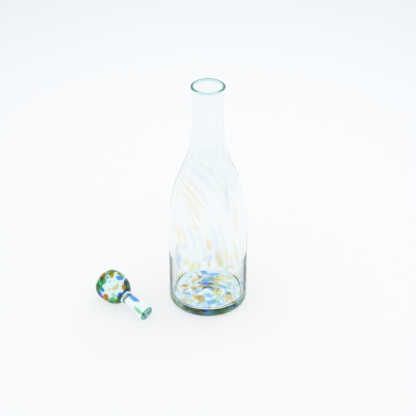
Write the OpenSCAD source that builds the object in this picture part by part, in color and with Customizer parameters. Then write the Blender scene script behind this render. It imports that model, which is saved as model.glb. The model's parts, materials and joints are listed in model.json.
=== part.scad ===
// Hand-blown glass bottle with its solid glass marble stopper taken off and lying beside it.
// Chips of coloured glass are melted into the thick floor of the bottle, into its wall, where
// they were drawn out into slanting streaks as the glass was turned, and into the stopper.
// Millimetres, +Z up. The origin is the centre of the bottle's foot, on the table.

/* [Body] */
// Outer diameter of the body
body_d = 90; // [75:1:108]
// Height at which the body starts to draw in
body_h = 85; // [70:0.5:110]
// Wall of the body
body_wall = 2.8; // [2.4:0.1:3.6]
// Radius of the heel, between the foot and the wall
heel_r = 8; // [6:0.5:11]

/* [Shoulder] */
// Height over which the body narrows to the neck
shoulder_h = 152; // [120:1:180]
// How far the line of the body runs on into the shoulder, in percent of its height
shoulder_full = 65; // [45:1:78]
// How far the line of the neck runs down into the shoulder, in percent of its height
shoulder_sweep = 46; // [30:1:58]

/* [Neck and mouth] */
// Bore of the neck
bore_d = 29.2; // [27:0.2:34]
// Wall of the neck
neck_wall = 2.6; // [2.2:0.1:3.2]
// Length of the neck, with its lip
neck_len = 40.5; // [34:0.5:60]
// How much wider than the bore the mouth opens
mouth_flare = 2.8; // [1.5:0.1:4]
// Thickness of the rounded lip
lip_t = 3; // [2.6:0.1:3.6]
// Height over which the neck flares to the lip
flare_h = 7; // [5:0.5:10]

/* [Foot and floor] */
// Width of the flat ring that the bottle stands on
foot_w = 4; // [3:0.5:6]
// How far the bottom is pushed up in the middle
kick_h = 5.5; // [3:0.5:8]
// Diameter of the ground mark in the middle of the bottom, where the rod was broken off
pontil_d = 14; // [10:1:18]
// Depth of that mark
pontil_h = 0.7; // [0.3:0.1:1.2]
// Thickness of the floor in the middle
floor_t = 8.4; // [8:0.1:11]
// Thickness of the floor at its edge
floor_edge_t = 9.6; // [9:0.1:12]
// Wall just above the floor, which is thicker than the rest of the body
foot_wall = 4.4; // [3.6:0.1:5.6]
// Height at which that thicker wall has thinned to the body's own
foot_wall_h = 66; // [45:1:70]
// Radius of the inside corner between floor and wall
inner_corner_r = 6; // [4:0.5:8]

/* [Stopper] */
// How much wider than the mouth the knob is, so that it can't drop in
knob_over = 5.2; // [2:0.1:8]
// Height of the knob above its widest line
crown_h = 17; // [13:0.5:20]
// How square the crown is: 2 is an ellipse, more is flatter
crown_square = 3.2; // [2:0.05:3.4]
// Depth of the knob below its widest line, if it ran on to a point
knob_drop = 23; // [20:0.5:30]
// Length of the peg's end below the knob's widest line
peg_reach = 57.5; // [50:0.5:70]
// Play between the bore of the neck and the end of the peg, on the diameter
peg_play = 11.4; // [6:0.2:13]
// How much slimmer the peg is at its waist than at its end
peg_waist_in = 4; // [1:0.2:4]
// Radius of the hollow between knob and peg
collar_r = 6; // [4:0.5:8]
// Rounding of the peg's end
peg_edge_r = 1; // [0.6:0.1:1.6]

/* [Chips in the floor and the stopper] */
// Thickness of a chip
chip_t = 2.2; // [1.4:0.1:2.6]
// How much smaller the smallest chip is than the largest, in percent
chip_range = 42; // [0:1:60]
// Chips in each of the two layers of the floor
floor_chips_n = 32; // [24:1:48]
// Least clear glass between the largest floor chips of a layer
floor_chip_gap = 1; // [0.2:0.1:2]
// Chips in the knob
knob_chips_n = 26; // [14:1:32]
// Least clear glass between the largest knob chips
knob_chip_gap = 0.8; // [0.2:0.1:2]
// Clear glass over the knob chips
knob_cover = 3.2; // [2:0.1:5]
// Length of the drawn-out chips in the peg
peg_chip_len = 15; // [8:0.5:18]
// Clear glass round the drawn-out chips in the peg
peg_cover = 1.4; // [1:0.1:2]

/* [Streaks in the wall] */
// Thickness of a streak low in the wall; it thins as the wall does
streak_t = 1.2; // [0.6:0.1:1.4]
// Height below which the glass was not turned
twist_z = 10; // [0:1:20]
// Turn of the glass in degrees for each millimetre of height, gained every millimetre
twist_gain = 0.0085; // [0.004:0.0005:0.01]
// Short chips low in the front of the wall
front_chips_n = 12; // [6:1:14]

/* [Place of the stopper] */
// Place of the knob across the bottle, as it lies
stopper_x = -111; // [-160:1:-70]
// Place of the knob along the view, as it lies
stopper_y = -7; // [-60:1:60]
// Direction in which the peg points, as it lies
stopper_turn = -44.2; // [-90:0.2:0]

/* [Hidden] */
$fn = 96;

body_r = body_d / 2;
neck_r = bore_d / 2 + neck_wall;
mouth_d = bore_d + mouth_flare;
shoulder_top = body_h + shoulder_h;
bottle_h = shoulder_top + neck_len;
lip_z = bottle_h - lip_t / 2;
flare_z = lip_z - flare_h;
foot_r = body_r - heel_r;
kick_r = foot_r - foot_w;
floor_r = body_r - foot_wall;
corner_in = floor_r - inner_corner_r;
floor_top = kick_h + floor_t;

// Golden angle, which spreads chips evenly over a disc or a ball, and the least distance between
// two of n such places, as a share of the radius over the root of n
golden = 180 * (3 - sqrt(5));
disc_space = 1.54;
ball_space = 3.08;

// Value of a cubic curve with ends a and d and handles b and c
function cubic(a, b, c, d, t) =
    a * pow(1 - t, 3) + 3 * b * t * pow(1 - t, 2) + 3 * c * t * t * (1 - t) + d * pow(t, 3);

// Smooth step from 0 to 1
function ease(s) = s * s * (3 - 2 * s);

// Point of the shoulder's outer line, from the body at t = 0 to the neck at t = 1
function shoulder_out(t) = [
    cubic(body_r, body_r, neck_r, neck_r, t),
    cubic(body_h, body_h + shoulder_h * shoulder_full / 100,
        shoulder_top - shoulder_h * shoulder_sweep / 100, shoulder_top, t)];

// Point of its inner line, one wall in from the outer line and square to it
function shoulder_in(t) =
    let (step = 0.001,
        run = shoulder_out(min(t + step, 1)) - shoulder_out(max(t - step, 0)),
        wall = body_wall + (neck_wall - body_wall) * t)
    shoulder_out(t) - wall * [run[1], -run[0]] / norm(run);

// Height of the pushed-up bottom and of the inner floor, at a distance r from the axis
function bottom_z(r) = kick_h * (1 - ease(min(r / kick_r, 1)))
    + pontil_h * max(0, 1 - pow(2 * r / pontil_d, 2));
function floor_z(r) = floor_top
    + (floor_edge_t - floor_top) * ease(min(r / corner_in, 1));

bottom_line = [for (i = [0 : 4]) let (r = pontil_d / 2 * i / 4) [r, bottom_z(r)],
    for (i = [1 : 8]) let (r = pontil_d / 2 + (kick_r - pontil_d / 2) * i / 8) [r, bottom_z(r)]];
heel_line = [for (a = [0 : 15 : 90]) [foot_r + heel_r * sin(a), heel_r * (1 - cos(a))]];
shoulder_line = [for (i = [0 : 24]) shoulder_out(i / 24)];
lip_line = [
    for (i = [0 : 6]) [neck_r + (mouth_d / 2 + lip_t - neck_r) * ease(i / 6), flare_z + flare_h * i / 6],
    for (a = [20 : 20 : 160]) [mouth_d / 2 + lip_t / 2 * (1 + cos(a)), lip_z + lip_t / 2 * sin(a)],
    for (i = [6 : -1 : 0]) [bore_d / 2 + mouth_flare / 2 * ease(i / 6), flare_z + flare_h * i / 6]];
inner_line = [for (i = [24 : -1 : 0]) shoulder_in(i / 24),
    [body_r - body_wall, foot_wall_h]];
corner_line = [for (a = [0 : 15 : 90])
    [corner_in + inner_corner_r * cos(a), floor_edge_t + inner_corner_r * (1 - sin(a))]];
floor_line = [for (i = [9 : -1 : 0]) let (r = corner_in * i / 10) [r, floor_z(r)]];

// Radius of the middle of the wall at a height, and its thickness there
outer_at = concat([[heel_r, body_r]], [for (p = shoulder_line) [p[1], p[0]]], [[flare_z, neck_r]]);
inner_at = concat([[floor_edge_t + inner_corner_r, floor_r], [foot_wall_h, body_r - body_wall]],
    [for (i = [0 : 24]) let (p = shoulder_in(i / 24)) [p[1], p[0]]], [[flare_z, bore_d / 2]]);
function wall_mid(z) = (lookup(z, outer_at) + lookup(z, inner_at)) / 2;
function wall_at(z) = lookup(z, outer_at) - lookup(z, inner_at);

// How far the glass has turned at a height, against the foot
function turned(z) = twist_gain / 2 * pow(max(z - twist_z, 0), 2);

// Knob and peg, as [radius, distance below the knob's widest line]
knob_r = (mouth_d + knob_over) / 2;
peg_end_r = (bore_d - peg_play) / 2;
waist_r = peg_end_r - peg_waist_in / 2;
// The hollow under the knob is a circle that touches the knob's lower ellipse and the waist:
// join is the angle on the ellipse at which a circle of that radius just reaches the waist
function slope(a) = atan2(knob_r * sin(a), knob_drop * cos(a));
function waist_miss(a) = knob_r * cos(a) - collar_r * (1 - cos(slope(a))) - waist_r;
function find_join(lo, hi, n) = n == 0 ? lo :
    let (mid = (lo + hi) / 2)
    waist_miss(mid) > 0 ? find_join(mid, hi, n - 1) : find_join(lo, mid, n - 1);
join = find_join(20, 88, 24);
join_slope = slope(join);
waist_t = knob_drop * sin(join) + collar_r * sin(join_slope);
crown_line = [for (a = [0 : 7.5 : 90])
    [knob_r * pow(sin(a), 2 / crown_square), -crown_h * pow(cos(a), 2 / crown_square)]];
drop_line = [for (i = [1 : 8]) [knob_r * cos(join * i / 8), knob_drop * sin(join * i / 8)]];
collar_line = [for (i = [1 : 6]) let (a = join_slope * (1 - i / 6))
    [waist_r + collar_r * (1 - cos(a)), waist_t - collar_r * sin(a)]];
peg_line = [for (i = [1 : 8])
    [waist_r + (peg_end_r - waist_r) * pow(i / 8, 2), waist_t + (peg_reach - peg_edge_r - waist_t) * i / 8]];
peg_end_line = [for (a = [30 : 30 : 90])
    [peg_end_r - peg_edge_r * (1 - cos(a)), peg_reach - peg_edge_r * (1 - sin(a))], [0, peg_reach]];
stopper_line = concat(crown_line, drop_line, collar_line, peg_line, peg_end_line);

// The stopper lies on its knob and on its peg's end, so its axis leans by the slope of the
// straight line that touches both, and its axis is as high as the line is far from it
lean = max([for (k = drop_line) min([for (p = concat(peg_line, peg_end_line))
    p[1] > k[1] ? atan2(k[0] - p[0], p[1] - k[1]) : 90])]);
axis_z = max([for (p = stopper_line) p[0] * cos(lean) + p[1] * sin(lean)]);

// Colours of the glass, and the order in which the chips take them
blue = 0;
sky = 1;
amber = 2;
green = 3;
olive = 4;
floor_order = [blue, amber, sky, green, blue, olive, sky, amber, blue, sky, green, amber, sky];
knob_order = [blue, amber, green, blue, olive, green, blue, amber, olive];
tints = ["royalblue", "skyblue", "darkgoldenrod", "seagreen", "olive"];

// Streaks as the photograph shows them: colour, angle of the top end, its height and the height
// that the streak runs down, both in percent of the height of the shoulder's top, and width
streak_rows = [
    [amber, 149, 63, 20, 5], [amber, 133, 50, 17, 4.5], [amber, 160, 41, 15, 5],
    [amber, 114, 32, 4, 3.5], [amber, 48, 43, 10, 4], [amber, 42, 26, 11, 4],
    [amber, 59, 18, 6, 6], [amber, 74, 16, 10, 6], [amber, 44, 11, 4, 4], [amber, 155, 8, 4, 5],
    [sky, 133, 70, 19, 8], [sky, 110, 71, 12, 6], [sky, 76, 68, 12, 5], [sky, 126, 33, 13, 6],
    [sky, 88, 33, 14, 6.5], [sky, 134, 24, 5, 5], [sky, 88, 14, 5, 5.5],
    [blue, 150, 20, 6, 5], [blue, 168, 9, 4.5, 7], [blue, 12, 14, 8, 7],
    [green, 78, 58, 8, 5], [green, 105, 10, 4, 4], [green, 57, 9, 5, 6],
    [olive, 119, 10, 6, 8], [olive, 26, 8, 4, 5]];
front_order = [green, sky, amber, blue];

// A chip of glass that has melted to a rounded pebble
module pebble(d, t) {
    rotate_extrude() polygon([[0, -t / 2], [d * 0.3, -t / 2], [d * 0.45, -t / 4], [d / 2, 0],
        [d * 0.45, t / 4], [d * 0.3, t / 2], [0, t / 2]]);
}

// A chip that has been drawn out along the peg
module drawn_chip(d, len) {
    rotate_extrude() polygon([for (i = [-4 : 4]) [d / 2 * cos(22.5 * i), len / 2 * sin(22.5 * i)]]);
}

// A streak is a lens in the middle of the wall that follows the turned glass: it is stated by the
// angle and height of its top end, how far it runs down, and its width square to its own run
module streak(angle, top, height, width) {
    steps = 8;
    rim = [[-1, 0], [-0.6, 0.5], [0.6, 0.5], [1, 0], [0.6, -0.5], [-0.6, -0.5]];
    sides = len(rim);
    last = steps * sides;
    points = [for (i = [0 : steps]) let (
            z = top - height * i / steps,
            fat = 0.12 + 0.88 * sqrt(sin(180 * i / steps)),
            sweep = (turned(z) - turned(z - 1)) * PI / 180 * wall_mid(z),
            run = norm([sweep, 1]))
        for (c = rim) let (
            across = c[0] * width / 2 * fat,
            rz = z - across * sweep / run,
            a = angle - turned(top) + turned(z) + across / run / wall_mid(z) * 180 / PI,
            r = wall_mid(rz) + c[1] * fat * streak_t * wall_at(rz) / foot_wall)
        [r * cos(a), r * sin(a), rz]];
    polyhedron(points, concat(
        [for (i = [0 : steps - 1], k = [0 : sides - 1])
            [i * sides + k, i * sides + (k + 1) % sides, (i + 1) * sides + (k + 1) % sides]],
        [for (i = [0 : steps - 1], k = [0 : sides - 1])
            [i * sides + k, (i + 1) * sides + (k + 1) % sides, (i + 1) * sides + k]],
        [for (k = [1 : sides - 2]) [0, k + 1, k]],
        [for (k = [1 : sides - 2]) [last, last + k, last + k + 1]]));
}

// The streaks that show in the photograph, which are those of the far wall, and short chips low
// in the near wall, those of one colour or all of them
module wall_streaks(colour = -1) {
    for (row = streak_rows)
        if (colour < 0 || colour == row[0])
            streak(row[1], row[2] * shoulder_top / 100, row[3] * shoulder_top / 100, row[4]);
    for (i = [0 : front_chips_n - 1])
        if (colour < 0 || colour == front_order[i % 4])
            streak(-172 + 168 * i / front_chips_n, (7 + 3.5 * (i % 3)) * shoulder_top / 100,
                (3 + i % 2) * shoulder_top / 100, 4 + i % 3);
}

// Two layers of chips between the bottom and the inner floor, those of one colour or all of them
module floor_chips(colour = -1) {
    largest = disc_space * corner_in / sqrt(floor_chips_n) - floor_chip_gap;
    for (layer = [0, 1]) {
        sizes = rands(1 - chip_range / 100, 1, floor_chips_n, 31 + layer);
        for (i = [0 : floor_chips_n - 1]) {
            r = corner_in * sqrt((i + 0.5) / floor_chips_n);
            z = bottom_z(r) + (floor_z(r) - bottom_z(r)) * (layer == 0 ? 0.3 : 0.7);
            own = floor_order[(i + 5 * layer) % len(floor_order)];
            if (colour < 0 || colour == own)
                rotate([0, 0, golden * i + 70 * layer]) translate([r, 0, z]) pebble(largest * sizes[i], chip_t);
        }
    }
}

// Chips on a ball inside the knob, each lying flat under the surface
module knob_chips(colour = -1) {
    ball = min(knob_r, crown_h) - knob_cover - chip_t / 2;
    largest = ball_space * ball / sqrt(knob_chips_n) - knob_chip_gap;
    sizes = rands(1 - chip_range / 100, 1, knob_chips_n, 57);
    for (i = [0 : knob_chips_n - 1]) {
        polar = acos(1 - 2 * (i + 0.5) / knob_chips_n);
        own = knob_order[i % len(knob_order)];
        if (colour < 0 || colour == own)
            rotate([0, polar, golden * i]) translate([0, 0, ball]) pebble(largest * sizes[i], chip_t);
    }
}

// The two drawn-out chips of the peg lie on opposite sides of its axis, one near each end of it
module peg_chip(side) {
    d = waist_r - 1.5 * peg_cover;
    along = side > 0 ? waist_t + peg_chip_len * 0.45 : peg_reach - peg_cover - peg_chip_len / 2;
    translate([0, side * (waist_r - peg_cover - d / 2), along]) drawn_chip(d, peg_chip_len);
}

// Moves a stopper that stands on its crown to where it lies on the table
module lying() {
    translate([stopper_x, stopper_y, axis_z]) rotate([0, 90 + lean, stopper_turn]) children();
}

module bottle_glass() {
    color("paleturquoise", 0.5) difference() {
        rotate_extrude() polygon(concat(bottom_line, heel_line, shoulder_line, lip_line,
            inner_line, corner_line, floor_line));
        floor_chips();
        wall_streaks();
    }
}

module stopper_glass() {
    color("paleturquoise", 0.5) lying() difference() {
        rotate_extrude() polygon(stopper_line);
        knob_chips();
        peg_chip(1);
        peg_chip(-1);
    }
}

module floor_chips_blue() { color(tints[blue]) floor_chips(blue); }
module floor_chips_sky() { color(tints[sky]) floor_chips(sky); }
module floor_chips_amber() { color(tints[amber]) floor_chips(amber); }
module floor_chips_green() { color(tints[green]) floor_chips(green); }
module floor_chips_olive() { color(tints[olive]) floor_chips(olive); }
module wall_streaks_blue() { color(tints[blue]) wall_streaks(blue); }
module wall_streaks_sky() { color(tints[sky]) wall_streaks(sky); }
module wall_streaks_amber() { color(tints[amber]) wall_streaks(amber); }
module wall_streaks_green() { color(tints[green]) wall_streaks(green); }
module wall_streaks_olive() { color(tints[olive]) wall_streaks(olive); }
module knob_chips_blue() { color(tints[blue]) lying() knob_chips(blue); }
module knob_chips_amber() { color(tints[amber]) lying() knob_chips(amber); }
module knob_chips_green() { color(tints[green]) lying() knob_chips(green); }
module knob_chips_olive() { color(tints[olive]) lying() knob_chips(olive); }
module peg_chip_blue() { color(tints[blue]) lying() peg_chip(1); }
module peg_chip_green() { color(tints[green]) lying() peg_chip(-1); }

bottle_glass();
floor_chips_blue();
floor_chips_sky();
floor_chips_amber();
floor_chips_green();
floor_chips_olive();
wall_streaks_blue();
wall_streaks_sky();
wall_streaks_amber();
wall_streaks_green();
wall_streaks_olive();
stopper_glass();
knob_chips_blue();
knob_chips_amber();
knob_chips_green();
knob_chips_olive();
peg_chip_blue();
peg_chip_green();
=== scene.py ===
# %% [markdown]
# # A blown glass bottle and its marble stopper
# The bottle is one bubble of clear glass. While it was hot it was rolled in chips of coloured
# glass, which melted into its floor and its wall, and turning it drew the chips in the wall out
# into slanting streaks. The stopper is a solid marble on a peg, with chips of its own.
# Everything here is built around a fixed model, which gives every place and size.

# %% Load the fixed model
import json
import bpy
import numpy as np
from mathutils import Matrix, Vector


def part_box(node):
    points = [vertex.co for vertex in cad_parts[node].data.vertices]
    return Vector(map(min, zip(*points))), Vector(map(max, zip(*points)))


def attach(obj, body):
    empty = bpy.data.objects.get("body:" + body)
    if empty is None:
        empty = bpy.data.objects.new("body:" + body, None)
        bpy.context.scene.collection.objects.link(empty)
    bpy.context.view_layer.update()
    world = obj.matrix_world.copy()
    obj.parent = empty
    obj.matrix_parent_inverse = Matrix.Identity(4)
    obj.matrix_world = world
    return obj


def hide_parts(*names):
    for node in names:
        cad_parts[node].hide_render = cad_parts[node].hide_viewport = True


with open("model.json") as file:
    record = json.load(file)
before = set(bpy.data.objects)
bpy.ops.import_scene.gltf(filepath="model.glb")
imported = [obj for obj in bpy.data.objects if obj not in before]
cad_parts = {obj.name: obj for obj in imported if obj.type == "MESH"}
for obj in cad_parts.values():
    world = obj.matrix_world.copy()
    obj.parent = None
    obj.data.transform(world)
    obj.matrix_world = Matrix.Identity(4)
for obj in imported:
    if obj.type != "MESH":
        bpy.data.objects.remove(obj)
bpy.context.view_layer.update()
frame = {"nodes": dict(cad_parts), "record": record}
MM = 0.001
print("nodes:", ", ".join(sorted(frame["nodes"])))

# %% [markdown]
# ## Sizes
# The main sizes are read from the model, so that the glass drawn here is the glass modelled
# there. What a box can't tell, such as the thickness of a wall, is stated in millimetres. All
# could be typed in, but then a change of the model would leave this drawing behind.

# %% Sizes of the bottle
bottle_high = np.array(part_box("bottle_glass")[1]) / MM
mounts = {m["name"]: m for m in frame["record"]["mounts"]}
bore_r = mounts["neck_bore"]["dims"]["r_mm"]
body_r = bottle_high[0]
bottle_h = bottle_high[2]
body_h, shoulder_h = 85.0, 152.0
# How far up the shoulder its full lower curve reaches, and how far down the sweep from the neck.
shoulder_full, shoulder_sweep = 0.65, 0.46
body_wall, neck_wall, foot_wall, foot_wall_h = 2.8, 2.6, 4.4, 66.0
# The heel's rounding, the width of the ring on which it stands, the push-up and the rod's mark.
heel_r, foot_w, kick_h, pontil_r, pontil_h = 8.0, 4.0, 5.5, 7.0, 0.7
floor_t, floor_edge_t, corner_r = 8.4, 9.6, 6.0
mouth_r, lip_t, flare_h = bore_r + 1.4, 3.0, 7.0
neck_r = bore_r + neck_wall
shoulder_top = body_h + shoulder_h
lip_z = bottle_h - lip_t / 2
foot_r = body_r - heel_r
kick_r = foot_r - foot_w
corner_in = body_r - foot_wall - corner_r
print(f"bottle {2 * body_r:.1f} mm wide and {bottle_h:.1f} mm high, bore {2 * bore_r:.1f} mm")

# %% Sizes and place of the stopper
knob_r, crown_h, crown_square, knob_drop = mouth_r + 2.6, 17.0, 3.2, 23.0
peg_reach, peg_end_r, waist_r, collar_r, peg_edge_r = 57.5, bore_r - 5.7, bore_r - 7.7, 6.0, 1.0
stopper_x, stopper_y, stopper_turn = -111.0, -7.0, np.radians(-44.2)
print(f"knob {2 * knob_r:.1f} mm wide on a peg of {2 * peg_end_r:.1f} mm")

# %% [markdown]
# ## Shader sums as plain expressions
# A node tree is easier to read when the sums in it look like sums. This small class holds one
# output of a node, and adding, multiplying or subtracting it makes the Math node that does so.
# A ramp turns such a value into a mask that goes from 0 to 1 between two places. The nodes could
# be placed one by one with their links, but a reader would have to work the sum out backwards.

# %% A socket that can be added and multiplied
class Value:
    """One socket of a node tree; an expression on it adds Math nodes to the same tree."""

    def __init__(self, shader, socket):
        self.shader, self.socket = shader, socket

    def math(self, operation, *others, clamp=False):
        """A Math node of this kind, fed by this socket and the others."""
        inputs = dict(enumerate((self, *others)))
        return self.shader.add("ShaderNodeMath", {"operation": operation, "use_clamp": clamp}, inputs)

    def __add__(self, other): return self.math("ADD", other)
    def __radd__(self, other): return self.math("ADD", other)
    def __mul__(self, other): return self.math("MULTIPLY", other)
    def __rmul__(self, other): return self.math("MULTIPLY", other)
    def __sub__(self, other): return self.math("SUBTRACT", other)
    def __rsub__(self, other): return self.add_reflected("SUBTRACT", other)

    def add_reflected(self, operation, other):
        """The same node with the number first, as in 1 - mask."""
        return self.shader.add("ShaderNodeMath", {"operation": operation}, {0: other, 1: self})

    def ramp(self, start, end):
        """0 at start, 1 at end, straight between and flat beyond; either may be the larger one."""
        return (self - start).math("MULTIPLY", 1 / (end - start), clamp=True)


# %% A material that grows node by node
class Shader:
    """A material's node tree, with one method that adds any node."""

    def __init__(self, owner):
        owner.use_nodes = True
        self.tree = owner.node_tree
        self.tree.nodes.clear()

    def add(self, kind, settings=None, inputs=None, output=0):
        """Adds a node: its settings first, then its inputs, each a number, a colour or a link."""
        node = self.tree.nodes.new(kind)
        for name, value in (settings or {}).items():
            setattr(node, name, value)
        for name, value in (inputs or {}).items():
            if isinstance(value, Value):
                self.tree.links.new(value.socket, node.inputs[name])
            else:
                node.inputs[name].default_value = value
        return Value(self, node.outputs[output]) if node.outputs else node

    def at(self, scale=(1, 1, 1)):
        """The piece's own coordinates in metres, scaled."""
        place = self.add("ShaderNodeTexCoord", output=3)
        return self.add("ShaderNodeMapping", {}, {"Vector": place, "Scale": scale})

    def height(self):
        """Height above the table, in metres."""
        return self.add("ShaderNodeSeparateXYZ", {}, {0: self.at()}, output=2)

    def from_axis(self):
        """Distance from the bottle's axis, in metres: the length of the place with its height left out."""
        return self.add("ShaderNodeVectorMath", {"operation": "LENGTH"}, {0: self.at((1, 1, 0))}, output=1)

    def noise(self, vector, scale, detail=2.0, roughness=0.5):
        """Soft noise between 0 and 1."""
        return self.add("ShaderNodeTexNoise", {}, {"Vector": vector, "Scale": scale,
                                                   "Detail": detail, "Roughness": roughness})

    def blend(self, mask, low, high):
        """A colour that goes from low to high as the mask goes from 0 to 1."""
        return self.add("ShaderNodeMix", {"data_type": "RGBA"}, {0: mask, 6: low, 7: high}, output=2)


# %% [markdown]
# ## How glass gets its colour
# Light that crosses coloured glass loses a share of itself with every millimetre, so a thick
# place is deep in colour and a thin one pale. A volume that only absorbs says just that. The
# clear glass has a little of it too, which can't be seen across a wall but shows along it. A
# stated colour is what is left of white after so many millimetres. Painting the surface would be
# quicker, but then a thin rim and a thick middle would have the same colour.

# %% Absorption from a colour and a thickness
def absorb(shader, left, thickness):
    """A volume that leaves the given share of red, green and blue after that many millimetres.
    Light falls off as e to the power of minus density times length, so the density is minus the
    logarithm of the share, over the length."""
    lost = -np.log(np.array(left)) / (thickness * MM)
    density = float(lost.max())
    colour = tuple(1 - lost / density) + (1.0,)
    return shader.add("ShaderNodeVolumeAbsorption", {}, {"Color": colour, "Density": density})


def finish_glass(name, left, thickness, ior, base, roughness, normal=None):
    """A glass material: a surface that lets all light through, times its tint, and the volume
    that takes a share of that light inside it."""
    material = bpy.data.materials.new(name)
    shader = Shader(material)
    inputs = {"Base Color": base(shader), "Roughness": roughness(shader), "IOR": ior,
              "Transmission Weight": 1.0}
    if normal:
        inputs["Normal"] = normal(shader)
    surface = shader.add("ShaderNodeBsdfPrincipled", {}, inputs)
    volume = absorb(shader, left, thickness)
    shader.add("ShaderNodeOutputMaterial", {}, {"Surface": surface, "Volume": volume})
    return material


# %% [markdown]
# ## Clear glass
# Its surface is fire-polished, so it is nearly as smooth as a mirror, with faint cords in it.
# Only the ring on which it stands is dulled, and light from the table enters the floor there. A
# tint on the surface adds what absorption alone can't give at a believable strength: teal in the
# lip and the heel, where light runs a long way inside the glass before it comes out. Lip, heel
# and ring could have materials of their own, but a mask fades where a material would end in a
# sharp line.

# %% Clear glass of the bottle
clean = (1, 1, 1, 1)
faint_blue, faint_green = (0.965, 0.982, 1, 1), (0.985, 0.997, 0.995, 1)
heel_teal, lip_teal = (0.58, 0.87, 0.95, 1), (0.52, 0.86, 0.84, 1)


def clear_base(shader):
    """Faintly blue low in the wall, faintly green from the shoulder up, teal on the heel and the
    lip; a cloudiness keeps the change of colour from being even."""
    height, from_axis = shader.height(), shader.from_axis()
    cloud = shader.noise(shader.at((1, 1, 0.35)), 45.0, 3.0)
    low = (height - cloud * (20 * MM)).ramp(60 * MM, 20 * MM)
    up = (height + cloud * (30 * MM)).ramp(120 * MM, 191.4 * MM)
    lip = height.ramp((bottle_h - 3.0) * MM, (bottle_h - 1.9) * MM)
    heel = (from_axis.ramp(foot_r * MM, (foot_r + 3.3) * MM)
            * height.ramp((heel_r + 1.6) * MM, (heel_r - 1.7) * MM))
    wall = shader.blend(heel, shader.blend(low, clean, faint_blue), heel_teal)
    return shader.blend(lip, shader.blend(up, wall, faint_green), lip_teal)


def worn_foot(shader):
    """Polished everywhere but in a ring underneath, which fades out inwards and is scuffed.
    Three ramps are multiplied: within the ring's edge, beyond its middle, and below its height."""
    height, from_axis = shader.height(), shader.from_axis()
    within = from_axis.ramp((foot_r + 1.0) * MM, foot_r * MM)
    beyond = from_axis.ramp(20 * MM, 28 * MM)
    below = height.ramp(7.5 * MM, 6.83 * MM)
    scuffs = shader.noise(shader.at(), 1800.0, 4.0, 0.7)
    return within * beyond * below * (scuffs * 0.3 + 0.17)


def cords(shader):
    """Cords in the glass: long soft waves that tilt the surface a little."""
    wave = shader.noise(shader.at((1, 1, 0.22)), 70.0)
    return shader.add("ShaderNodeBump", {}, {"Strength": 0.015, "Distance": 0.001, "Height": wave})


thin_clear, clear_t, glass_index = (0.968, 0.993, 0.992), 10.0, 1.5
clear_glass = finish_glass("clear_glass", thin_clear, clear_t, glass_index, clear_base, worn_foot, cords)
print(f"clear glass keeps {thin_clear[0]:.1%} of red after {clear_t:.0f} mm")

# %% [markdown]
# ## Coloured glass
# A chip is melted into the clear glass, so nothing bends or mirrors light between the two: its
# index, seen from inside, is 1. What shows is only its colour, deeper where it is thicker. The
# chips in the wall were drawn out thin, and thin glass is paler and purer, so they have lighter
# tints of their own. A pattern painted on the wall would be simpler, but it would lie on the
# glass, where the real colour lies in it.

# %% The five colours, as chips and drawn thin
clouded = (0.985, 0.988, 0.99, 1)


def streaky(shader):
    """White with soft clouds, because a chip never melts quite evenly."""
    cloud = shader.noise(shader.at(), 320.0, 3.0, 0.6)
    return shader.blend(cloud, clouded, clean)


def smooth(shader):
    """No roughness: a melted-in chip has no surface to scratch, and the stopper is fire-polished."""
    return 0.0


chip_t, melted_in = 2.2, 1.0
coloured = {
    "blue": (0.22, 0.52, 0.90),
    "sky": (0.56, 0.84, 0.97),
    "amber": (0.82, 0.48, 0.11),
    "green": (0.42, 0.80, 0.56),
    "olive": (0.78, 0.73, 0.24),
}
drawn_thin = {
    "blue": (0.50, 0.66, 0.97),
    "sky": (0.66, 0.79, 0.98),
    "amber": (0.95, 0.72, 0.33),
    "green": (0.68, 0.92, 0.70),
    "olive": (0.93, 0.87, 0.42),
}
tinted = {name: finish_glass(name + "_glass", left, chip_t, melted_in, streaky, smooth)
          for name, left in coloured.items()}
wall_tint = {name: finish_glass(name + "_glass_drawn_thin", left, chip_t, melted_in, streaky, smooth)
             for name, left in drawn_thin.items()}
print("coloured glasses:", ", ".join(tinted))

# %% [markdown]
# ## Meshes from arrays
# Every piece here is a sheet of points on a grid. Rows run along a profile and columns run round
# it, so a round piece needs only its profile. Where a profile starts or ends on the axis, all
# the points of that row are one, and triangles close the pole. Blender's own Spin does this too,
# but an array can be bent by a formula before it becomes a mesh.

# %% Put a grid of points into a mesh
def grid_faces(rows, columns):
    """Quads between neighbouring rows of a grid that closes on itself across its columns."""
    row, column = np.meshgrid(np.arange(rows - 1), np.arange(columns), indexing="ij")
    after = (column + 1) % columns
    corners = [row * columns + column, row * columns + after,
               (row + 1) * columns + after, (row + 1) * columns + column]
    return np.stack(corners, -1).reshape(-1, 4)


def closed_grid(grid):
    """Points and faces of a grid whose first and last rows are poles.
    The poles become single points, and the faces beside them triangles."""
    rows, columns, _ = grid.shape
    inner = grid[1:-1].reshape(-1, 3)
    first, last = len(inner), len(inner) + 1
    points = np.vstack([inner, grid[0, :1], grid[-1, :1]])
    quads = grid_faces(rows - 2, columns)
    here = np.arange(columns)
    after = (here + 1) % columns
    end = (rows - 3) * columns
    start_fan = np.stack([np.full(columns, first), after, here], -1)
    end_fan = np.stack([end + here, end + after, np.full(columns, last)], -1)
    return points, quads, np.vstack([start_fan, end_fan])


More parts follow.
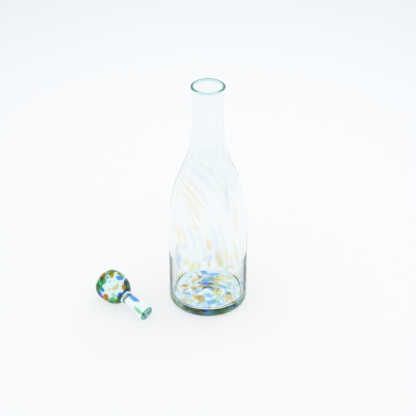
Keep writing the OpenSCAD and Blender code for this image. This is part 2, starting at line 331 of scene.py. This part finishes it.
def make_piece(name, shapes, material):
    """One object from several closed grids, in metres, with smooth faces that point outwards."""
    points, quads, triangles, start = [], [], [], 0
    for p, q, t in shapes:
        points.append(p)
        quads.append(q + start)
        triangles.append(t + start)
        start += len(p)
    points, quads, triangles = (np.vstack(a) for a in (points, quads, triangles))
    mesh = bpy.data.meshes.new(name)
    corners = np.concatenate([quads.ravel(), triangles.ravel()]).astype(np.int32)
    sizes = np.concatenate([np.full(len(quads), 4), np.full(len(triangles), 3)])
    mesh.vertices.add(len(points))
    mesh.vertices.foreach_set("co", (points * MM).astype(np.float32).ravel())
    mesh.loops.add(len(corners))
    mesh.loops.foreach_set("vertex_index", corners)
    mesh.polygons.add(len(sizes))
    mesh.polygons.foreach_set("loop_start", np.concatenate([[0], np.cumsum(sizes)[:-1]]).astype(np.int32))
    mesh.update(calc_edges=True)
    mesh.validate()
    mesh.shade_smooth()
    mesh.materials.append(material)
    piece = bpy.data.objects.new(name, mesh)
    bpy.context.scene.collection.objects.link(piece)
    print(f"{name}: {len(points)} points")
    return piece


# %% [markdown]
# ## The bottle's profile
# The line starts under the middle of the bottom, goes out over the heel, up the wall and the
# shoulder, round the lip, and down again inside to the middle of the floor. Its shoulder is one
# cubic curve, upright at both ends, and the inner line runs one wall inside it. A Solidify
# modifier could give a plain outline its wall, but here the wall changes: thick in the foot and
# the floor, thin in the shoulder.

# %% Outer and inner lines of the bottle
def ease(s):
    """Smooth step from 0 to 1."""
    return s * s * (3 - 2 * s)


def shoulder_out(t):
    """The shoulder's outer line: a cubic curve from the body's edge to the neck's."""
    a, b, c, d = (1 - t) ** 3, 3 * t * (1 - t) ** 2, 3 * t * t * (1 - t), t ** 3
    radius = body_r * (a + b) + neck_r * (c + d)
    height = (body_h * a + (body_h + shoulder_h * shoulder_full) * b
              + (shoulder_top - shoulder_h * shoulder_sweep) * c + shoulder_top * d)
    return np.stack([radius, height], -1)


def shoulder_in(t):
    """Its inner line: each point goes in by the wall, square to the outer line."""
    run = shoulder_out(np.minimum(t + 0.001, 1)) - shoulder_out(np.maximum(t - 0.001, 0))
    run /= np.linalg.norm(run, axis=1, keepdims=True)
    wall = body_wall + (neck_wall - body_wall) * t
    return shoulder_out(t) - wall[:, None] * np.stack([run[:, 1], -run[:, 0]], -1)


def line(start, end, count):
    """Points from start towards end, without the end itself."""
    return np.linspace(start, end, count, endpoint=False)


def arc(centre, radius, start, end, count):
    """Points on a circle between two angles in degrees, without the last."""
    a = np.radians(line(start, end, count))
    return np.stack([centre[0] + radius * np.cos(a), centre[1] + radius * np.sin(a)], -1)


def bottle_profile():
    """The whole outline, as radius and height, with the number of points on its outside.
    Bottom, floor and lip are smooth steps between two heights or radii, and the rod's mark adds
    a parabola in the middle."""
    t = line(0, 1, 60)
    s = line(0, 1, 10)
    r = np.concatenate([line(0, 12, 42), line(12, kick_r, 12)])
    bottom = np.stack([r, kick_h * (1 - ease(r / kick_r))
                       + pontil_h * np.maximum(0, 1 - (r / pontil_r) ** 2)], -1)
    outer = np.vstack([
        bottom,
        line((kick_r, 0.0), (foot_r, 0.0), 3),
        arc((foot_r, heel_r), heel_r, -90, 0, 12),
        line((body_r, heel_r), (body_r, body_h), 44),
        shoulder_out(t),
        line((neck_r, shoulder_top), (neck_r, lip_z - flare_h), 16),
        np.stack([neck_r + (mouth_r + lip_t - neck_r) * ease(s), lip_z - flare_h * (1 - s)], -1)])
    mouth = arc((mouth_r + lip_t / 2, lip_z), lip_t / 2, 0, 180, 20)
    r = line(corner_in, 0, 18)
    floor = floor_edge_t + (kick_h + floor_t - floor_edge_t) * (1 - ease(r / corner_in))
    inner = np.vstack([
        np.stack([bore_r + (mouth_r - bore_r) * ease(1 - s), lip_z - flare_h * s], -1),
        line((bore_r, lip_z - flare_h), (bore_r, shoulder_top), 16),
        shoulder_in(1 - t),
        line((body_r - body_wall, body_h), (body_r - body_wall, foot_wall_h), 12),
        line((body_r - body_wall, foot_wall_h), (body_r - foot_wall, floor_edge_t + corner_r), 30),
        arc((corner_in, floor_edge_t + corner_r), corner_r, 0, -90, 10),
        np.stack([r, floor], -1),
        [[0.0, kick_h + floor_t]]])
    return np.vstack([outer, mouth, inner]), len(outer)


profile, outer_count = bottle_profile()
print(f"profile of {len(profile)} points, {outer_count} of them outside")

# %% [markdown]
# ## Turned glass
# The glass was turned as it was drawn up, so everything in it slants: a place in the wall has
# turned by an angle that grows with the square of its height. The waves of the surface and the
# coloured streaks share this turn. A Simple Deform modifier twists as well, but evenly, and then
# the streaks would slant as much at the foot as at the shoulder.

# %% How far the glass has turned at a height
twist_z, twist_gain = 10.0, np.radians(0.0085)


def turned(z):
    """Angle by which the glass at this height has turned against the foot: half the gain times
    the square of the height above the floor."""
    return twist_gain / 2 * np.maximum(z - twist_z, 0) ** 2


# %% [markdown]
# ## The bottle
# The profile goes round the axis, and a hand-blown wall is never quite true: its outside dips and
# its inside swells by a few hundredths of a millimetre along the turn. The waves are that small
# because glass with steeper ones shows a dark line wherever it is seen edge on. Waves of whole
# numbers round the axis meet themselves, so the sheet has no seam. Underneath, where the rod was
# broken off, two wandering grooves stand for the scar. A Screw modifier would turn the profile
# too, but with arrays the waves and the scar go in at the same time.

# %% Sweep the profile round
dip_h, swell_h = 0.015, 0.03
scar_place, scar_r, groove_h, groove_w = (4.0, -8.0), 12.0, 0.5, 0.35


def waves(angle, z, phase):
    """Two slow waves round the bottle that follow the turn of the glass, between -1 and 1: a sine
    with two crests round it and a weaker one with three, both drifting a little with height."""
    a = angle - turned(z)
    return 0.6 * np.sin(2 * a + 0.008 * z + phase) + 0.4 * np.sin(3 * a - 0.012 * z + 2 * phase)


def bottle_shape(columns=256):
    """Radius and height from the profile, with the waves added to the radius and the scar's
    grooves to the height. A groove is a bell curve across a line that winds as a sine."""
    r, z = profile[:, 0:1], profile[:, 1:2]
    angle = np.linspace(0, 2 * np.pi, columns, endpoint=False)[None, :]
    outside = (np.arange(len(profile)) < outer_count)[:, None]
    upright = ease(np.clip((z - 12) / 30, 0, 1)) * ease(np.clip((lip_z - flare_h - z) / 60, 0, 1))
    dip = dip_h * (waves(angle, z, 0.6) - 1) * upright
    swell = swell_h * waves(angle, z, 2.1) * upright
    radius = r + np.where(outside, dip, swell)
    x, y = r * np.cos(angle) - scar_place[0], r * np.sin(angle) - scar_place[1]
    grooves = (np.exp(-((y - 1.5 * np.sin(1.4 * x + 0.6)) / groove_w) ** 2)
               + np.exp(-((y + 2.8 - 1.1 * np.sin(1.7 * x)) / groove_w) ** 2))
    scar = groove_h * grooves * outside * (r < scar_r) * np.exp(-((x * x + y * y) / 30) ** 2)
    grid = np.stack([radius * np.cos(angle), radius * np.sin(angle), z + scar], -1)
    return closed_grid(grid)


bottle = make_piece("blown_bottle", [bottle_shape()], clear_glass)
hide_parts("bottle_glass")
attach(bottle, "bottle")

# %% [markdown]
# ## The stopper
# The knob's crown is a squarish ellipse, its lower half a longer ellipse that is cut short where
# a round hollow leads over to the peg, and the peg swells again towards its flat end. The angle
# at which the hollow touches both is found by halving an interval. Two meshes joined by a Boolean
# would leave a crease there, which a piece pulled from one hot gather doesn't have.

# %% Profile of the stopper
def drop_slope(a):
    """Slope of the knob's lower ellipse at a parameter."""
    return np.arctan2(knob_r * np.sin(a), knob_drop * np.cos(a))


def find_join():
    """The parameter at which a circle of the hollow's radius just reaches the waist."""
    low, high = np.radians(20), np.radians(88)
    for _ in range(24):
        middle = (low + high) / 2
        over = knob_r * np.cos(middle) - collar_r * (1 - np.cos(drop_slope(middle))) - waist_r
        low, high = (middle, high) if over > 0 else (low, middle)
    return low


def stopper_profile():
    """The outline as radius and distance below the knob's widest line. The crown's radius and
    height are a sine and a cosine to the power of 2 over its squareness, and the peg swells with
    the square of the way along it."""
    join = find_join()
    slope = drop_slope(join)
    waist_t = knob_drop * np.sin(join) + collar_r * np.sin(slope)
    a = np.radians(line(0, 90, 30))
    power = 2 / crown_square
    crown = np.stack([knob_r * np.sin(a) ** power, -crown_h * np.cos(a) ** power], -1)
    b = line(0, join, 26)
    drop = np.stack([knob_r * np.cos(b), knob_drop * np.sin(b)], -1)
    c = line(slope, 0, 12)
    collar = np.stack([waist_r + collar_r * (1 - np.cos(c)), waist_t - collar_r * np.sin(c)], -1)
    s = line(0, 1, 24)
    peg = np.stack([waist_r + (peg_end_r - waist_r) * s ** 2,
                    waist_t + (peg_reach - peg_edge_r - waist_t) * s], -1)
    edge = arc((peg_end_r - peg_edge_r, peg_reach - peg_edge_r), peg_edge_r, 0, 90, 8)
    end = line((peg_end_r - peg_edge_r, peg_reach), (0, peg_reach), 8)
    return np.vstack([crown, drop, collar, peg, edge, end, [[0, peg_reach]]])


outline = stopper_profile()
print(f"stopper {peg_reach + crown_h:.1f} mm long")

# %% [markdown]
# ## Lying on the table
# The stopper touches the table with its knob and with the rim of its peg. So its axis leans by
# the slope of the straight line that touches the profile twice, once on the knob and once on the
# peg, and that line's distance is the height of the axis. It could be tilted by eye, but it
# would float or sink by a hair, and the gap shows in the light under it.

# %% Find the lean and place the stopper
def resting_lean():
    """Slope of the line that touches the knob and the peg: for each point of the knob the least
    slope to any point of the peg, and of these the greatest."""
    knob = outline[(outline[:, 1] > 0) & (outline[:, 1] < knob_drop * 0.6)]
    peg = outline[outline[:, 1] > knob_drop * 1.6]
    slopes = np.arctan2(knob[:, None, 0] - peg[None, :, 0], peg[None, :, 1] - knob[:, None, 1])
    return slopes.min(axis=1).max()


lean = resting_lean()
axis_z = (outline[:, 0] * np.cos(lean) + outline[:, 1] * np.sin(lean)).max()
lay_down = np.array(Matrix.Rotation(stopper_turn, 3, "Z") @ Matrix.Rotation(np.pi / 2 + lean, 3, "Y"))
print(f"the stopper leans by {np.degrees(lean):.1f} degrees, its axis {axis_z:.1f} mm up")


def lying(points):
    """Points of the stopper's own frame, where its axis is +Z, as they lie on the table."""
    return points @ lay_down.T + np.array([stopper_x, stopper_y, axis_z])


# %% [markdown]
# ## The stopper's glass
# The stopper is solid, and in the photograph its green shows more than the bottle's absorption
# would give. So it has a finish of its own, a little deeper, with teal on the cut end of the peg,
# where the eye looks along the whole stopper. One finish with a switch by place would do, but two
# are easier to set.

# %% Clear glass of the stopper
cut_teal = (0.55, 0.80, 0.74, 1)


def stopper_base(shader):
    """White with the same cloudiness, and teal on the peg's cut end, which shows the whole
    length of the glass behind it. The distance along the peg is a dot product with its axis."""
    cloud = shader.noise(shader.at(), 60.0, 3.0)
    place = shader.add("ShaderNodeTexCoord", output=3)
    along = shader.add("ShaderNodeVectorMath", {"operation": "DOT_PRODUCT"},
                       {0: place, 1: tuple(lay_down[:, 2])}, output=1)
    start = float(lay_down[:, 2] @ np.array([stopper_x, stopper_y, axis_z]))
    end = along.ramp((start + peg_reach - 0.6) * MM, (start + peg_reach - 0.27) * MM)
    return shader.blend(end, shader.blend(cloud, faint_green, clean), cut_teal)


thick_clear = (0.94, 0.987, 0.98)
thick_glass = finish_glass("clear_glass_of_the_stopper", thick_clear, clear_t, glass_index,
                           stopper_base, smooth, cords)
print(f"the stopper's glass keeps {thick_clear[0]:.0%} of red after {clear_t:.0f} mm")

# %% [markdown]
# ## The stopper's surface
# The knob was pressed into shape by hand, so it isn't quite round, and the tool that narrowed the
# collar left fine rings there. A bump in the finish would show the rings as well, but not where
# the collar is seen edge on.

# %% Sweep the outline round
ring_t, ring_h, ring_w = 26.0, 0.10, 3.5


def stopper_shape(columns=128):
    """The outline round its axis. The knob is a touch out of round, as a hand-shaped one is, and
    fine tool marks ring the collar: a sine along the axis that fades as a bell curve."""
    r, t = outline[:, 0:1], outline[:, 1:2]
    angle = np.linspace(0, 2 * np.pi, columns, endpoint=False)[None, :]
    dent = 0.001 * (np.sin(2 * angle + 0.8) + 0.6 * np.sin(3 * angle + 0.12 * t) - 1.6)
    marks = ring_h * (1 + np.sin(3.6 * (t - ring_t))) * np.exp(-((t - ring_t) / ring_w) ** 2)
    radius = r * (1 + dent * np.clip((20 - t) / 10, 0, 1)) - marks
    grid = np.stack([radius * np.cos(angle), radius * np.sin(angle), t + 0 * angle], -1)
    points, quads, triangles = closed_grid(grid)
    return lying(points), quads, triangles


stopper = make_piece("marble_stopper", [stopper_shape()], thick_glass)
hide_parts("stopper_glass")
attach(stopper, "stopper")

# %% [markdown]
# ## Where the chips are
# The fixed model holds each chip as a plain pebble. Its places are read from there: the
# triangles of a node are joined into separate solids, and each solid tells its middle and,
# through the spread of its points, the way it lies. New chips could be scattered at random, but
# they wouldn't be the modelled ones, and some would reach through the wall.

# %% Split a node into its solids
def solids_of(node):
    """The points of each separate solid of a node, in millimetres.
    Points that touch share a label, and the labels spread along the triangles until they agree."""
    mesh = frame["nodes"][node].data
    flat = np.empty(len(mesh.vertices) * 3, np.float32)
    mesh.vertices.foreach_get("co", flat)
    world = np.array(frame["nodes"][node].matrix_world)
    points = flat.reshape(-1, 3).astype(float) @ world[:3, :3].T + world[:3, 3]
    points, same = np.unique(np.round(points / MM, 3), axis=0, return_inverse=True)
    corners = np.empty(len(mesh.loops), np.int32)
    mesh.loops.foreach_get("vertex_index", corners)
    faces = same.ravel()[corners].reshape(-1, 3)
    label = np.arange(len(points))
    while True:
        least = label[faces].min(axis=1)
        before = label.copy()
        for k in range(3):
            np.minimum.at(label, faces[:, k], least)
        if (label == before).all():
            break
    return [points[label == k] for k in np.unique(label)]


# %% [markdown]
# ## Melted chips
# A chip is a ball squeezed flat, whose rim swells in lobes, so no two look alike. Each gets its
# lobes from a seeded random number, so the picture is the same every time. A cube with a
# Subdivision modifier would do for one chip, but a ball on a grid takes any size and lobe.

# %% Pebbles of coloured glass
def melted_chip(points, rng, spread, thick, move=(0, 0, 0), rows=14, columns=28):
    """A squeezed ball in the place of one modelled chip, moved by a step.
    Rows run from pole to pole and columns round it. The distance across is a sine to the power
    of 0.8 times one plus three sines with two, three and five lobes, the height is a cosine, and
    the chip lies as the modelled one does."""
    centre = (points.min(axis=0) + points.max(axis=0)) / 2
    _, _, axes = np.linalg.svd(points - points.mean(axis=0), full_matrices=False)
    if np.linalg.det(axes) < 0:
        axes[2] = -axes[2]
    half = np.array([np.ptp((points - centre) @ a) / 2 for a in axes])
    u = np.linspace(0, np.pi, rows)[:, None]
    v = np.linspace(0, 2 * np.pi, columns, endpoint=False)[None, :]
    p = rng.uniform(0, 2 * np.pi, 3)
    lobes = 1 + 0.16 * np.sin(2 * v + p[0]) + 0.10 * np.sin(3 * v + p[1]) + 0.05 * np.sin(5 * v + p[2])
    across = np.sin(u) ** 0.8 * lobes
    size = rng.uniform(0.7, 1.15)
    long, short = spread * size * rng.uniform(1.0, 1.3), spread * size * rng.uniform(0.75, 1.0)
    grid = np.stack([half[0] * long * across * np.cos(v), half[1] * short * across * np.sin(v),
                     half[2] * thick * rng.uniform(0.7, 1.5) / size * np.cos(u) + 0 * v], -1)
    points, quads, triangles = closed_grid(grid @ axes + centre + move)
    return points, quads[:, ::-1], triangles[:, ::-1]


# %% [markdown]
# ## Chips of the floor
# The floor was the hottest part of the bubble. Its chips spread as it settled, so they are drawn
# wider and thinner than they are modelled, a little further out and higher towards the edge, and
# small crumbs lie round them. None of them may come near the outside of the glass. One size for
# all would be simpler, but large chips at the floor's edge shut the light out of the heel.

# %% Where a floor chip and its crumbs lie
settled_z, crumb_size = 7.4, 0.5


def settled(points):
    """The step by which a floor chip moved. Outwards it is 0.18 of the distance from the axis
    times the square of how far that is towards the corner; upwards it is what is missing to the
    settled height, times a smooth step. Chips in the wall of the foot stay."""
    x, y, z = (points.min(axis=0) + points.max(axis=0)) / 2
    reach = np.hypot(x, y) / corner_in
    if reach > 1:
        return np.zeros(3)
    out = 0.18 * reach ** 2
    return np.array([x * out, y * out, max(0, settled_z - z) * ease(reach)])


def edge_of_floor(points):
    """How large a floor chip is drawn: half size in the outer three tenths of the floor where it
    lies lower than 5.2 mm, so that light still gets through the edge of the floor."""
    x, y, z = points.mean(axis=0)
    return 0.5 if np.hypot(x, y) > 0.7 * corner_in and z < 5.2 else 1.0


def crumbs(points, rng):
    """Steps aside to the crumbs that broke off a floor chip: three directions, 4.5 to 8 mm away,
    and only where that is 10 mm off the axis and 4 mm inside the floor's corner."""
    x, y = points[:, :2].mean(axis=0)
    for turn in rng.uniform(0, 2 * np.pi, 3):
        step = rng.uniform(4.5, 8.0) * np.array([np.cos(turn), np.sin(turn), 0])
        if 10 < np.hypot(x + step[0], y + step[1]) < corner_in - 4:
            yield step


def within_wall(points, quads, triangles):
    """A floor chip, moved towards the axis where its rim would come within 2 mm of the outside."""
    reach = np.hypot(points[:, 0], points[:, 1])
    over = max(0.0, reach.max() - (body_r - 2.0))
    points[:, :2] -= over * points[reach.argmax(), :2] / reach.max()
    return points, quads, triangles


def floor_shapes(solids, rng, spread, thick):
    """The chips of one colour in the floor, and then their crumbs."""
    shapes = [melted_chip(s, rng, spread * edge_of_floor(s), thick * edge_of_floor(s), settled(s))
              for s in solids]
    shapes += [melted_chip(s, rng, crumb_size, crumb_size, settled(s) + crumb)
               for s in solids for crumb in crumbs(s, rng)]
    return [within_wall(*shape) for shape in shapes]


# %% [markdown]
# ## Chips of the knob
# The knob is a thick lens, and its chips show largest where the eye looks along its rim. The
# photograph looks through a clear window in the middle of it, so chips on the line of sight are
# drawn small and those far from it large. Chips of one size at places chosen for the window would
# do the same, but the places are the model's.

# %% Sizes of the knob's chips
# From the knob to the eye: a touch to the right, to the front, and up by thirty degrees.
through = np.array([0.08, -np.cos(np.radians(30)), np.sin(np.radians(30))])


def window(points):
    """How large a knob chip is drawn: 0.42 near the line that looks through the knob, then one
    smooth step of 0.58 from 28 to 50 degrees off it, and one of 0.5 from 50 to 80 degrees."""
    way = (points.min(axis=0) + points.max(axis=0)) / 2 - np.array([stopper_x, stopper_y, axis_z])
    off = np.degrees(np.arccos(min(1.0, abs(way @ through) / np.linalg.norm(way))))
    return 0.42 + 0.58 * ease(np.clip((off - 28) / 22, 0, 1)) + 0.5 * ease(np.clip((off - 50) / 30, 0, 1))


def knob_shapes(solids, rng, spread, thick):
    """The chips of one colour in the knob."""
    return [melted_chip(s, rng, spread * window(s), thick * window(s)) for s in solids]


# %% [markdown]
# ## All chips in their places
# Each colour in each place is one piece with one finish, as it is one node of the model. Every
# chip could be an object of its own, but a hundred objects would show nothing more.

# %% Put the chips of floor and knob in their places
def place_glass(name, node, colour, body, shapes, tints):
    """One piece for all the coloured glass of a node."""
    piece = make_piece(name, shapes, tints[colour])
    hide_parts(node)
    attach(piece, body)


floor_spread, knob_spread, knob_thick = 1.5, 1.15, 1.4
floor_thick = {"blue": 0.7, "sky": 0.7, "amber": 0.5, "green": 0.5, "olive": 0.5}
for seed, colour in enumerate(coloured, 10):
    node = f"floor_chips_{colour}"
    rng = np.random.default_rng(seed)
    shapes = floor_shapes(solids_of(node), rng, floor_spread, floor_thick[colour])
    place_glass(f"floor_{colour}", node, colour, "bottle", shapes, tinted)
for seed, colour in enumerate(("blue", "amber", "green", "olive"), 30):
    node = f"knob_chips_{colour}"
    rng = np.random.default_rng(seed)
    shapes = knob_shapes(solids_of(node), rng, knob_spread, knob_thick)
    place_glass(f"knob_{colour}", node, colour, "stopper", shapes, tinted)

# %% [markdown]
# ## Streaks in the wall
# A streak is a long lens in the middle of the wall. Straightened by the turn of the glass it
# would stand upright, so its place is one angle and two heights. It is thickest in the middle
# and runs out to nothing at its rim, which gives it soft edges; a bevelled curve would follow the
# wall as well, but its edges would be hard. Low in the wall, where the glass was hardly drawn
# out, the streaks are shorter and thicker.

# %% Long lenses that follow the turned glass
streak_t, lowest_end, drawn_from = 1.1, 6.5, 35.0


def wall_mid(z):
    """Radius of the middle of the wall at a height: the mean of the outer and the inner radius,
    each looked up between the points of its line."""
    t = np.linspace(0, 1, 200)
    out, into = shoulder_out(t), shoulder_in(t)
    outer = np.interp(z, np.r_[heel_r, out[:, 1]], np.r_[body_r, out[:, 0]])
    inner = np.interp(z, np.r_[floor_edge_t + corner_r, foot_wall_h, into[:, 1]],
                      np.r_[body_r - foot_wall, body_r - body_wall, into[:, 0]])
    return (outer + inner) / 2


def strand(points, rng, thickness, aside, wide, rise, long, rows=26, columns=20):
    """A lens through the place of one modelled streak, or beside it.
    Rows run down the streak and columns round its lens; the half width follows the root of a sine
    and the thickness a sine, and the lens is a cubed sine across, so that it fades at its rim.
    The share of the thickness falls off with height as an exponential."""
    z = points[:, 2]
    straight = np.unwrap(np.sort(np.arctan2(points[:, 1], points[:, 0]) - turned(z)))
    angle = (straight[0] + straight[-1]) / 2
    middle = (z.min() + z.max()) / 2
    sweep = twist_gain * max(middle - twist_z, 0) * wall_mid(middle)
    run = np.hypot(sweep, 1)
    width = np.ptp(straight) * wall_mid(middle) / run
    angle += aside * np.ptp(straight)
    s = np.linspace(0, 1, rows)[:, None]
    v = np.linspace(0, 2 * np.pi, columns, endpoint=False)[None, :]
    p = rng.uniform(0, 2 * np.pi, 2)
    wobble = 1 + 0.18 * np.sin(9 * s + p[0]) * s * (1 - s) * 4
    fat = np.sqrt(np.sin(np.pi * s)) * wobble
    length = np.ptp(z)
    top = np.clip(middle + length * (rise + long / 2), long * length + lowest_end, shoulder_top)
    height = top - long * length * s
    across = np.cos(v) * width * wide / 2 * fat
    here = height - across * sweep / run
    a = angle + turned(height) + across / run / wall_mid(height)
    deep = thickness * (0.6 + 0.9 * np.exp(-np.maximum(middle - 20, 0) / 18))
    radius = wall_mid(here) + np.sin(v) ** 3 * np.sin(np.pi * s) * deep / 2
    return closed_grid(np.stack([radius * np.cos(a), radius * np.sin(a), here], -1))


def beside(points, rng):
    """The strands of one streak, each with its thickness, distance aside, width, rise and length.
    One is wide and in its place, two thin ones lie beside it, and low in the wall, where the
    chips were hardly drawn out, four short ones are scattered round it."""
    low = points[:, 2].mean() < drawn_from
    count = 4 if low else 2
    side = np.where(np.arange(count) % 2, 1.0, -1.0)
    yield (1.0, 0.0, 1.8, 0.0, 1.1) if low else (0.9, 0.0, 1.15, -0.1, 1.35)
    for k in range(count):
        far, rise = rng.uniform(0.6, 3.0 if low else 1.6), rng.uniform(-0.4, 0.9 if low else 0.4)
        size, aside = rng.uniform(0.6, 1.1), far * side[k]
        yield (0.8, aside, size * 1.3, rise, size * 0.9) if low else (0.4, aside, size * 1.4, rise, 1.2)


for seed, colour in enumerate(coloured, 50):
    node = f"wall_streaks_{colour}"
    rng = np.random.default_rng(seed)
    shapes = [strand(s, rng, streak_t * share, *place)
              for s in solids_of(node) for share, *place in beside(s, rng)]
    place_glass(f"wall_{colour}", node, colour, "bottle", shapes, wall_tint)

# %% [markdown]
# ## The peg's two chips
# These were drawn out along the peg as it was pulled, so they stay long spindles. The modelled
# pebbles are long already, and the same squeezed ball takes their shape.

# %% Drawn-out chips
peg_spread, peg_thick = 0.85, 0.75
for seed, colour in enumerate(("blue", "green"), 70):
    node = f"peg_chip_{colour}"
    rng = np.random.default_rng(seed)
    shapes = [melted_chip(s, rng, peg_spread, peg_thick) for s in solids_of(node)]
    place_glass(f"peg_{colour}", node, colour, "stopper", shapes, tinted)

# %% [markdown]
# ## Table, light and camera
# The photograph was taken on a white sweep in even light. The table is a large pale sheet under
# an even white sky, with one wide soft lamp from the right and behind, which gives the stopper
# its faint shadow. The camera looks down at about thirty degrees through a long lens.
#
# Paper alone would go grey under and round the glass, where the photograph stays nearly white.
# So the eye sees a mixture, straight on, in reflections and through glass: mostly a sheet that
# gives off its own even white, and for the rest paper that takes the shadow. Every other ray
# meets plain paper.

# %% The pale table
# The far colour is painted shade: the sheet is drawn darker and bluer away from the bottle, where the
# studio light falls off.
near_white, far_painted_shade = (0.95, 0.96, 0.972, 1), (0.84, 0.87, 0.90, 1)
own_white = 0.7


def table_colour(shader):
    """Nearly white, a little bluer and darker far from the bottle, by the cube of the distance: painted
    shade where the studio light falls off away from the bottle.
    """
    place = shader.add("ShaderNodeTexCoord", output=3)
    wide = shader.add("ShaderNodeMapping", {}, {"Vector": place, "Scale": (1.5, 1, 1)})
    away = shader.add("ShaderNodeVectorMath", {"operation": "LENGTH"}, {0: wide}, output=1)
    mask = (away * 0.95).math("POWER", 3.0, clamp=True)
    return shader.blend(mask, near_white, far_painted_shade)


def table_sheet(half=6.0, drop=0.0002):
    """A square sheet just under the glass. The three rays that show its own white are those of
    the camera, of reflections and of glass, outputs 0, 3 and 6 of the light path."""
    mesh = bpy.data.meshes.new("table")
    corners = [(-half, -half, -drop), (half, -half, -drop), (half, half, -drop), (-half, half, -drop)]
    mesh.from_pydata(corners, [], [(0, 1, 2, 3)])
    material = bpy.data.materials.new("table")
    shader = Shader(material)
    colour = table_colour(shader)
    paper = shader.add("ShaderNodeBsdfPrincipled", {},
                       {"Base Color": colour, "Roughness": 0.7, "Specular IOR Level": 0.0})
    white = shader.add("ShaderNodeBsdfPrincipled", {},
                       {"Base Color": (0, 0, 0, 1), "Roughness": 1.0, "Specular IOR Level": 0.0,
                        "Emission Color": colour, "Emission Strength": 1.0})
    seen = sum(shader.add("ShaderNodeLightPath", output=k) for k in (0, 3, 6))
    share = seen.math("MULTIPLY", own_white, clamp=True)
    shown = shader.add("ShaderNodeMixShader", {}, {0: share, 1: paper, 2: white})
    shader.add("ShaderNodeOutputMaterial", {}, {"Surface": shown})
    mesh.materials.append(material)
    table = bpy.data.objects.new("table", mesh)
    bpy.context.scene.collection.objects.link(table)


table_sheet()
print(f"table: {own_white:.0%} of its white is its own, the rest takes the shadow")

# %% Sky and lamp
scene = bpy.context.scene
world = bpy.data.worlds.new("even_sky")
scene.world = world
sky_shader = Shader(world)
sky_white, sky_strength = (0.985, 0.99, 1.0, 1), 0.97
background = sky_shader.add("ShaderNodeBackground", {}, {"Color": sky_white, "Strength": sky_strength})
sky_shader.add("ShaderNodeOutputWorld", {}, {"Surface": background})


def soft_lamp(name, place, target, size, watts):
    """A square lamp that faces a point."""
    data = bpy.data.lights.new(name, "AREA")
    data.shape, data.size, data.energy = "SQUARE", size, watts
    lamp = bpy.data.objects.new(name, data)
    lamp.location = place
    lamp.rotation_euler = (Vector(target) - Vector(place)).to_track_quat("-Z", "Y").to_euler()
    scene.collection.objects.link(lamp)
    print(f"{name}: {watts:.0f} W, {size} m wide")


soft_lamp("soft_box", place=(1.2, 1.0, 1.8), target=(0, 0, 0.1), size=1.4, watts=6.0)

# %% The camera
image_px = 416
focal_px = 1400.0
down = np.radians(31.5)
distance, look_at = 1.590, np.array([0, 0, 0.1227])
eye = look_at + distance * np.array([0, -np.cos(down), np.sin(down)])
data = bpy.data.cameras.new("camera")
data.sensor_width = 36.0
data.lens = data.sensor_width * focal_px / image_px
camera = bpy.data.objects.new("camera", data)
camera.location = eye
camera.rotation_euler = Vector(look_at - eye).to_track_quat("-Z", "Y").to_euler()
scene.collection.objects.link(camera)
scene.camera = camera
print(f"lens {data.lens:.0f} mm from {distance:.2f} m")

# %% [markdown]
# ## Last settings
# Glass in glass needs long light paths: a ray crosses two walls, several chips and the floor
# before it reaches the table, and in the heel it is mirrored to and fro many times. Short paths
# would be quicker, but each one that is cut off leaves a dark speck. The view is the plain
# standard one, so a colour shows as written.

# %% Light paths, view and size
scene.cycles.max_bounces = 400
scene.cycles.transmission_bounces = 400
scene.cycles.glossy_bounces = 400
scene.cycles.transparent_max_bounces = 16
scene.view_settings.view_transform = "Standard"
